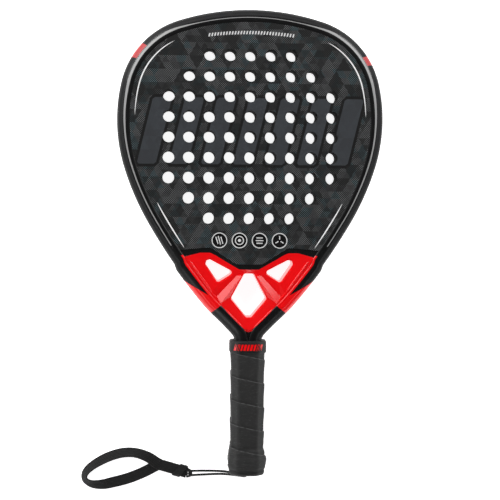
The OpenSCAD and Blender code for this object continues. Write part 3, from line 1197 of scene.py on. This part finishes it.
def carbon_gloss():
    p = Paint("carbon_gloss")
    s, girth, inset = p.split(p.mark("along"))
    over, tow = twill(p, p.add(s, girth), p.sub(s, girth), 2.1)
    fine = p.noise(p.place(), 3.0, 2.0)
    outer = p.ramp(inset, 5.6, 6.2, 1.0, 0.0)
    level = p.add(p.mul(over, 0.008), p.mul(tow, 0.008))
    level = p.mul(level, outer)
    level = p.add(level, p.mul(fine, 0.003))
    value = p.add(level, 0.0035)
    p.set(Base_Color=p.combine(value, value, p.mul(value, 1.06)), Roughness=p.ramp(inset, 4.5, 6.5, 0.55, 0.3),
          Specular_IOR_Level=0.18, Coat_Weight=p.ramp(inset, 3.0, 6.5, 0.03, 0.35), Coat_Roughness=0.1)
    p.bump(p.add(p.mul(tow, p.mul(outer, 0.5)), p.mul(p.noise(p.place(), 0.2, 2.0), 0.6)), 0.00004, 0.6)
    return p.mat


def highlight_strip_paint():
    # painted highlight: pale grey that stands for light caught on the shoulder's narrow bevel
    p = Paint("painted_highlight_grey")
    n = p.noise(p.place(), 1.4, 3.0)
    p.set(Base_Color=p.mix(n, grey(0.25), grey(0.34)), Roughness=p.ramp(n, 0.3, 0.7, 0.34, 0.46),
          Coat_Weight=0.4, Coat_Roughness=0.2)
    return p.mat


def gloss_paint(name, dark, light, rough=0.2):
    """Clear-coated paint with a fine fleck and a little orange peel."""
    p = Paint(name)
    fleck = p.ramp(p.white(p.vec("FLOOR", p.vec("MULTIPLY", p.place(), (5, 5, 5)))), 0.0, 1.0)
    wash = p.noise(p.place(), 0.08, 2.0)
    p.set(Base_Color=p.mix(p.add(p.mul(fleck, 0.35), p.mul(wash, 0.6)), dark, light),
          Roughness=rough, Specular_IOR_Level=0.3, Coat_Weight=0.6, Coat_Roughness=0.07)
    p.bump(p.noise(p.place(), 0.55, 2.0), 0.00004, 0.5)
    return p.mat


def face_carbon():
    """Satin carbon under a relief of small dots, with faceted camouflage and ghosted slanted bars."""
    p = Paint("carbon_satin")
    place = p.place()
    x, y, z = p.split(place)

    def dots(dx, dy):
        v = p.combine(p.add(p.maths("DIVIDE", x, 2.05), dx), p.add(p.maths("DIVIDE", y, 2.1), dy))
        v = p.vec("SUBTRACT", p.vec("FRACTION", v), (0.5, 0.5, 0.0))
        return p.vec("LENGTH", p.vec("MULTIPLY", v, (2.05, 2.1, 0.0)))

    near = p.maths("MINIMUM", dots(0.0, 0.0), dots(0.5, 0.5))
    dot = p.ramp(near, 0.3, 0.62, 1.0, 0.0)

    def facets(size, seed):
        """A random level for each triangle of a lattice."""
        a = p.floor(y, size)
        b = p.floor(p.add(p.mul(x, 0.866), p.mul(y, 0.5)), size)
        c = p.floor(p.sub(p.mul(x, 0.866), p.mul(y, 0.5)), size)
        return p.white(p.combine(p.add(a, seed), b, c))

    big, small = facets(13.0, 3.0), facets(6.5, 11.0)
    camo = p.add(p.mul(big, 0.65), p.mul(small, 0.35))
    # ghosted slanted bars across the face
    dy = p.sub(y, 109.5)
    u = p.sub(x, p.mul(dy, 0.24))
    cell = p.sub(p.maths("FLOORED_MODULO", p.add(u, 15.5), 31.0), 15.5)
    wide = p.sub(p.maths("ABSOLUTE", cell), 12.0)
    tall = p.sub(p.maths("ABSOLUTE", dy), 35.0)
    cut = p.mul(p.add(p.add(wide, tall), 3.5), 0.7071)
    edge = p.maths("MAXIMUM", p.maths("MAXIMUM", wide, tall), cut)
    edge = p.maths("MAXIMUM", edge, p.sub(p.maths("ABSOLUTE", u), 106.0))
    edge = p.add(edge, p.mul(p.maths("LESS_THAN", z, 19.0), 1000.0))
    fill = p.ramp(edge, -2.9, -2.7, 1.0, 0.0)
    line = p.sub(p.ramp(edge, -0.1, 0.1, 1.0, 0.0), fill)
    fine = p.noise(place, 1.6, 3.0, 0.6)
    strength = p.ramp(camo, 0.25, 0.75, 0.16, 1.0)
    tint = p.mix(p.ramp(facets(9.0, 23.0), 0.72, 0.74), rgb(0.130, 0.134, 0.138), rgb(0.085, 0.128, 0.142))
    body = p.mix(p.mul(dot, strength), grey(0.003), tint)
    body = p.mix(p.mul(fine, 0.16), body, grey(0.015))
    smoothed = p.mix(p.mul(strength, 0.5), rgb(0.032, 0.034, 0.038), rgb(0.044, 0.050, 0.057))
    colour = p.mix(fill, body, smoothed)
    colour = p.mix(line, colour, grey(0.003))
    p.set(Base_Color=colour, Roughness=p.ramp(fill, 0.0, 1.0, 0.5, 0.44), Specular_IOR_Level=0.2)
    relief = p.mul(dot, p.ramp(fill, 0.0, 1.0, 1.0, 0.45))
    p.bump(relief, 0.00016, 0.7)
    return p.mat


def foam(name, dark, light, cell=1.4):
    p = Paint(name)
    v = p.cells(cell)
    n = p.noise(p.place(), 0.5, 4.0, 0.6)
    p.set(Base_Color=p.mix(p.mul(n, v), dark, light), Roughness=0.85, Specular_IOR_Level=0.25)
    p.bump(v, 0.00015, 0.6)
    return p.mat


def drilled_foam():
    """EVA foam cut by a drill: open cells and fine rings."""
    p = Paint("eva_foam_drilled")
    v = p.cells(1.6)
    rings = p.noise(p.vec("MULTIPLY", p.place(), (0.15, 0.15, 2.2)), 1.0, 3.0)
    p.set(Base_Color=p.mix(p.mul(rings, v), grey(0.004), grey(0.016)), Roughness=0.8, Specular_IOR_Level=0.2)
    first = p.bump(v, 0.00012, 0.5)
    p.bump(rings, 0.00015, 0.5, first)
    return p.mat


def grip_paint():
    """Polyurethane overgrip: matte, faintly pebbled, with pores, painted shade in the groove under each overlap edge,
    and a pale line on the overlap's crest that is partly stretch marks and partly painted highlight.
    """
    p = Paint("overgrip_matte")
    around, y, wound = p.split(p.mark("wound"))
    place = p.place()
    turn = p.maths("FRACT", p.maths("DIVIDE", wound, WRAP_PITCH))
    # painted shade: the groove just under each overlap edge, where the tape steps down, is darkened
    edge = p.ramp(turn, 0.02, 0.075, 1.0, 0.0)
    # partly stretch marks, partly painted highlight: a pale line along the crest of the overlap step
    stretch_and_highlight = p.ramp(turn, 0.955, 0.99)
    pores = p.ramp(p.noise(place, 2.6, 3.0, 0.6), 0.35, 0.65)
    slant = p.combine(p.mul(around, 0.22), p.add(y, p.mul(around, 0.22)), 0.0)
    crease = p.ramp(p.noise(slant, 0.3, 3.0, 0.55), 0.42, 0.62)
    scuff = p.ramp(p.noise(p.combine(p.mul(around, 0.3), y, 3.0), 0.9, 4.0, 0.7), 0.56, 0.72)
    near_butt = p.ramp(y, -192.0, -204.0)
    shade = p.add(p.mul(pores, 0.25), p.mul(p.noise(place, 0.12, 2.0), 0.6))
    colour = p.mix(shade, grey(0.007), grey(0.020))
    colour = p.mix(p.mul(scuff, 0.5), colour, grey(0.055))
    # the pale crest line: stretch marks and painted highlight
    colour = p.mix(p.mul(stretch_and_highlight, p.ramp(p.noise(place, 0.25, 3.0), 0.35, 0.6, 0.1, 0.8)), colour, grey(0.07))
    # painted shade in the groove under the overlap edge
    colour = p.mix(p.mul(edge, 0.9), colour, grey(0.002))
    p.set(Base_Color=colour, Roughness=p.ramp(pores, 0.0, 1.0, 0.62, 0.72), Specular_IOR_Level=0.32,
          Sheen_Weight=0.04, Sheen_Roughness=0.5)
    first = p.bump(pores, 0.00009, 0.4)
    p.bump(p.mul(crease, p.ramp(near_butt, 0.0, 1.0, 0.3, 1.0)), 0.0004, 0.6, first)
    return p.mat


def moulded_paint(name, scale, tones, rough, specular, depth):
    """Matte rubber or plastic with a fine moulded grain."""
    p = Paint(name)
    n = p.noise(p.place(), scale, 3.0)
    p.set(Base_Color=p.mix(n, *map(grey, tones)), Roughness=p.ramp(n, 0.3, 0.7, *rough), Specular_IOR_Level=specular)
    p.bump(n, depth, 0.5)
    return p.mat


def web_paint():
    """Black nylon webbing: chevron picks across the ribs, with a thread's sheen."""
    p = Paint("webbing_weave")
    gone, across, _ = p.split(p.mark("along"))
    v = p.maths("PINGPONG", p.mul(across, 1.0), 0.9)
    picks = p.maths("PINGPONG", p.add(p.mul(gone, 1.15), v), 0.5)
    ribs = p.maths("PINGPONG", p.mul(across, 1.1), 0.5)
    weave = p.mul(p.ramp(picks, 0.05, 0.4), p.ramp(ribs, 0.02, 0.3))
    fuzz = p.noise(p.place(), 3.5, 3.0, 0.7)
    shade = p.mul(weave, p.ramp(fuzz, 0.3, 0.7, 0.6, 1.0))
    p.set(Base_Color=p.mix(shade, grey(0.002), grey(0.016)), Roughness=0.65, Sheen_Weight=0.04,
          Sheen_Roughness=0.4, Specular_IOR_Level=0.25)
    first = p.bump(weave, 0.00022, 0.9)
    p.bump(fuzz, 0.00008, 0.5, first)
    return p.mat


def cord_paint():
    """Braided cord."""
    p = Paint("cord_braid")
    gone, around, _ = p.split(p.mark("along"))
    a = p.maths("PINGPONG", p.add(p.mul(gone, 1.1), p.mul(around, 0.955)), 0.5)
    b = p.maths("PINGPONG", p.sub(p.mul(gone, 1.1), p.mul(around, 0.955)), 0.5)
    braid = p.mul(p.ramp(a, 0.02, 0.35), p.ramp(b, 0.02, 0.35))
    p.set(Base_Color=p.mix(braid, grey(0.003), grey(0.014)), Roughness=0.6, Sheen_Weight=0.04, Specular_IOR_Level=0.25)
    p.bump(braid, 0.00015, 0.8)
    return p.mat


def flat_mark(name, colour, rough=0.45):
    p = Paint(name)
    n = p.noise(p.place(), 2.0, 3.0)
    darker = tuple(c * 0.82 for c in colour[:3]) + (1.0,)
    p.set(Base_Color=p.mix(n, darker, colour), Roughness=rough)
    return p.mat


def thread_paint():
    p = Paint("stitch_thread")
    n = p.noise(p.place(), 5.0, 2.0)
    p.set(Base_Color=p.mix(n, grey(0.45), grey(0.8)), Roughness=0.5, Sheen_Weight=0.3)
    p.bump(n, 0.0001, 0.6)
    return p.mat


def steel_paint():
    p = Paint("staple_steel")
    n = p.noise(p.vec("MULTIPLY", p.place(), (1, 8, 1)), 0.8, 3.0)
    p.set(Base_Color=p.mix(n, grey(0.45), grey(0.6)), Metallic=1.0, Roughness=p.ramp(n, 0.3, 0.7, 0.25, 0.4))
    return p.mat


def dress(mat, *objs):
    """Gives objects one material."""
    for obj in objs:
        obj.data.materials.clear()
        obj.data.materials.append(mat)


carbon = carbon_gloss()
red = gloss_paint("red_gloss", rgb(0.76, 0.0006, 0.002), rgb(0.92, 0.0012, 0.004), 0.3)
deep_red = gloss_paint("red_deep", rgb(0.40, 0.0006, 0.003), rgb(0.50, 0.0012, 0.005), 0.5)
trim = gloss_paint("black_gloss", grey(0.0035), grey(0.007), 0.25)
braid = cord_paint()

dress(carbon, frame_obj)
dress(highlight_strip_paint(), *highlight_strips)
dress(red, *red_paint, slash_obj, crease_obj)
# not dressed: clearing a mesh's materials would reset which of its faces are black
bridge_obj.data.materials.append(red)
bridge_obj.data.materials.append(trim)
dress(deep_red, *red_flashes)
dress(face_carbon(), face_front, face_rear)
dress(grip_paint(), grip_obj)
dress(moulded_paint("collar_rubber", 1.2, (0.003, 0.008), (0.46, 0.58), 0.3, 0.00006), collar_obj)
dress(moulded_paint("cap_plastic", 2.2, (0.004, 0.009), (0.5, 0.6), 0.25, 0.00005), cap_obj)
dress(web_paint(), loop_obj, tab_obj, keeper_obj)
dress(braid, leash_obj)
dress(thread_paint(), tab_stitches)
dress(flat_mark("accent_white", grey(0.9)), accent_obj)
dress(flat_mark("tick_grey", grey(0.68)), tick_obj, badge_obj)
dress(trim, badge_discs)
dress(drilled_foam(), wall_obj)

CAD_PAINT = {
    "foam_core": foam("eva_foam", grey(0.006), grey(0.020)),
    "frame_foam": foam("frame_foam_cells", grey(0.30), grey(0.42), 0.9),
    "handle_pallet": foam("pallet_foam", grey(0.012), grey(0.03), 0.7),
    "cushion_grip": foam("grip_cushion_foam", grey(0.015), grey(0.03), 1.1),
    "cap_staples": steel_paint(),
    "cord_knot": braid,
}

# ---------------------------------------------------------------- floor and light


def floor():
    """A pale floor that turns up into a low wall all round."""
    rim = [(1.0, 0.0), (3.0, 0.0)]
    rim += [(3.0 + sin(radians(a)), 1 - cos(radians(a))) for a in range(10, 91, 10)] + [(4.0, 1.7)]
    count = 64
    verts = [(0.0, 0.0, -FLOOR_DROP)]
    verts += [(x, y, z - FLOOR_DROP) for r, z in rim for x, y in circle(0, 0, r, count)]
    faces = [(0, 1 + k, 1 + (k + 1) % count) for k in range(count)] + list(grid(1, len(rim) - 1, count))
    mesh = bpy.data.meshes.new("floor")
    mesh.from_pydata(verts, [], faces)
    for poly in mesh.polygons:
        poly.use_smooth = True
    obj = bpy.data.objects.new("floor", mesh)
    bpy.context.collection.objects.link(obj)
    p = Paint("floor_pale")
    p.set(Base_Color=grey(0.9), Roughness=0.9, Specular_IOR_Level=0.1, Emission_Color=grey(1.0),
          Emission_Strength=FLOOR_GLOW)
    obj.data.materials.append(p.mat)


def area_light(name, at, size, watts):
    data = bpy.data.lights.new(name, "AREA")
    data.shape = "RECTANGLE"
    data.size, data.size_y = size
    data.energy = watts
    obj = bpy.data.objects.new(name, data)
    obj.location = at
    obj.rotation_euler = (-Vector(at)).to_track_quat("-Z", "Y").to_euler()
    bpy.context.collection.objects.link(obj)


FLOOR_GLOW, FLOOR_DROP = 0.93, 0.0004
floor()
area_light("key", (-1.5, 1.5, 1.9), (1.8, 1.8), 52)
area_light("fill", (1.45, 1.3, 2.0), (1.3, 1.3), 26)
area_light("low", (-0.9, -1.9, 1.5), (1.6, 0.8), 8)

world = bpy.data.worlds.new("world")
world.use_nodes = True
world.node_tree.nodes["Background"].inputs[0].default_value = (1, 1, 1, 1)
world.node_tree.nodes["Background"].inputs[1].default_value = 0.06
bpy.context.scene.world = world
bpy.context.scene.view_settings.view_transform = "Standard"

for key, mat in CAD_PAINT.items():
    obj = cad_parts[key]
    dress(mat, bpy.data.objects[obj] if isinstance(obj, str) else obj)
